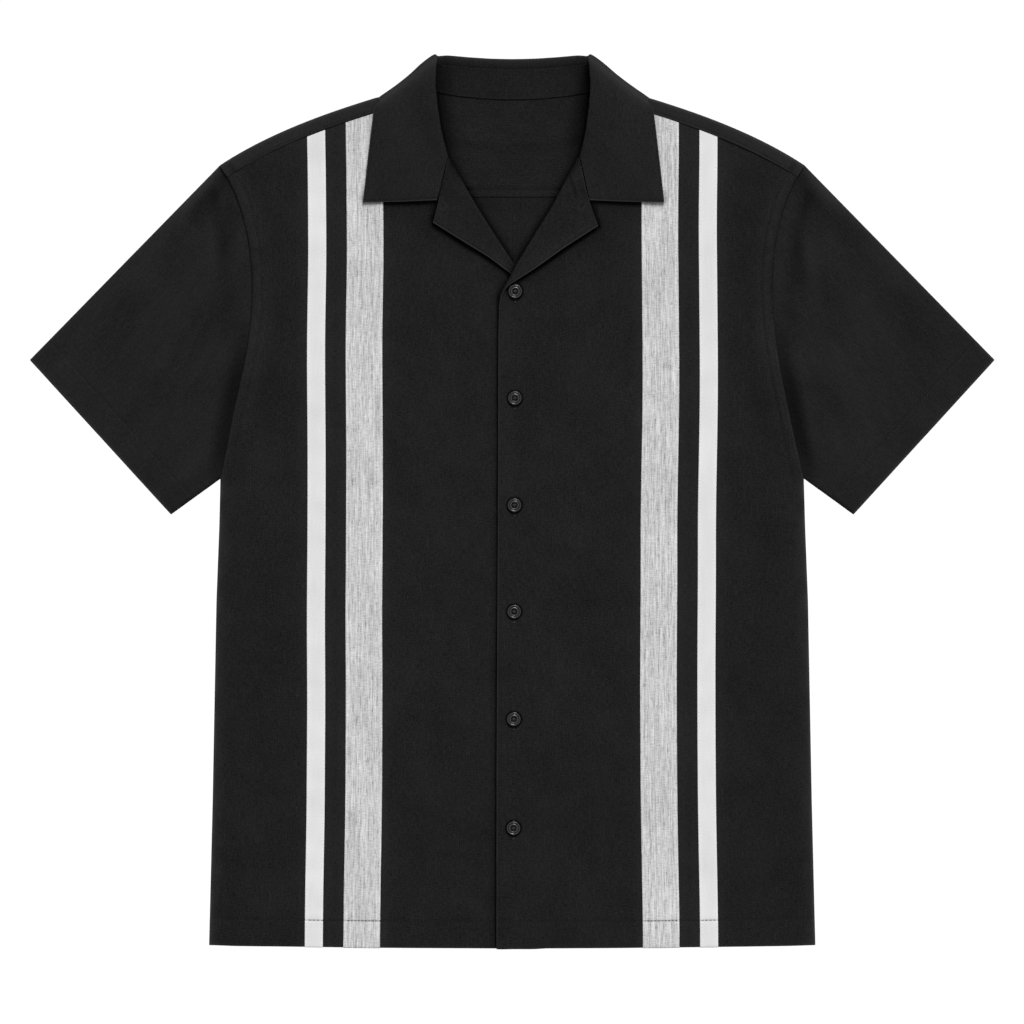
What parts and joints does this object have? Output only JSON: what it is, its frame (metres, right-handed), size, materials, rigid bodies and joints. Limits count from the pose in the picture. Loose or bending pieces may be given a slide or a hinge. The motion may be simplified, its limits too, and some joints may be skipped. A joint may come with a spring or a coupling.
{
  "type": "camp collar shirt",
  "caption": "Short-sleeved camp collar shirt lying flat, front up: notched collar turned out, straight hem, buttoned front, grey and white vertical stripes let into black cloth.",
  "frame": {"origin": "on the surface that the shirt lies on, under the middle of its bounding box", "axes": "+X to the wearer's left, across the shirt from sleeve to sleeve; +Y from the hem to the collar; +Z out of the front, away from the surface"},
  "size_m": [0.837, 0.7783, 0.0108],
  "materials": {
    "black_cloth": "matt plain weave with fine slubs",
    "grey_cloth": "matt plain weave with slubs along its length",
    "white_cloth": "smooth matt plain weave",
    "button_plastic": "polished, four holes, raised rim"
  },
  "bodies": {
    "root": {"back_panel": "black_cloth", "yoke": "black_cloth", "front_left": "black_cloth", "front_right": "black_cloth", "lapel_left": "black_cloth", "lapel_right": "black_cloth", "collar": "black_cloth", "sleeve_left": "black_cloth", "sleeve_right": "black_cloth", "stripe_grey_left": "grey_cloth", "stripe_grey_right": "grey_cloth", "stripe_white_left": "white_cloth", "stripe_white_right": "white_cloth", "button_1": "button_plastic", "button_2": "button_plastic", "button_3": "button_plastic", "button_4": "button_plastic", "button_5": "button_plastic", "button_6": "button_plastic"}
  },
  "joints": []
}
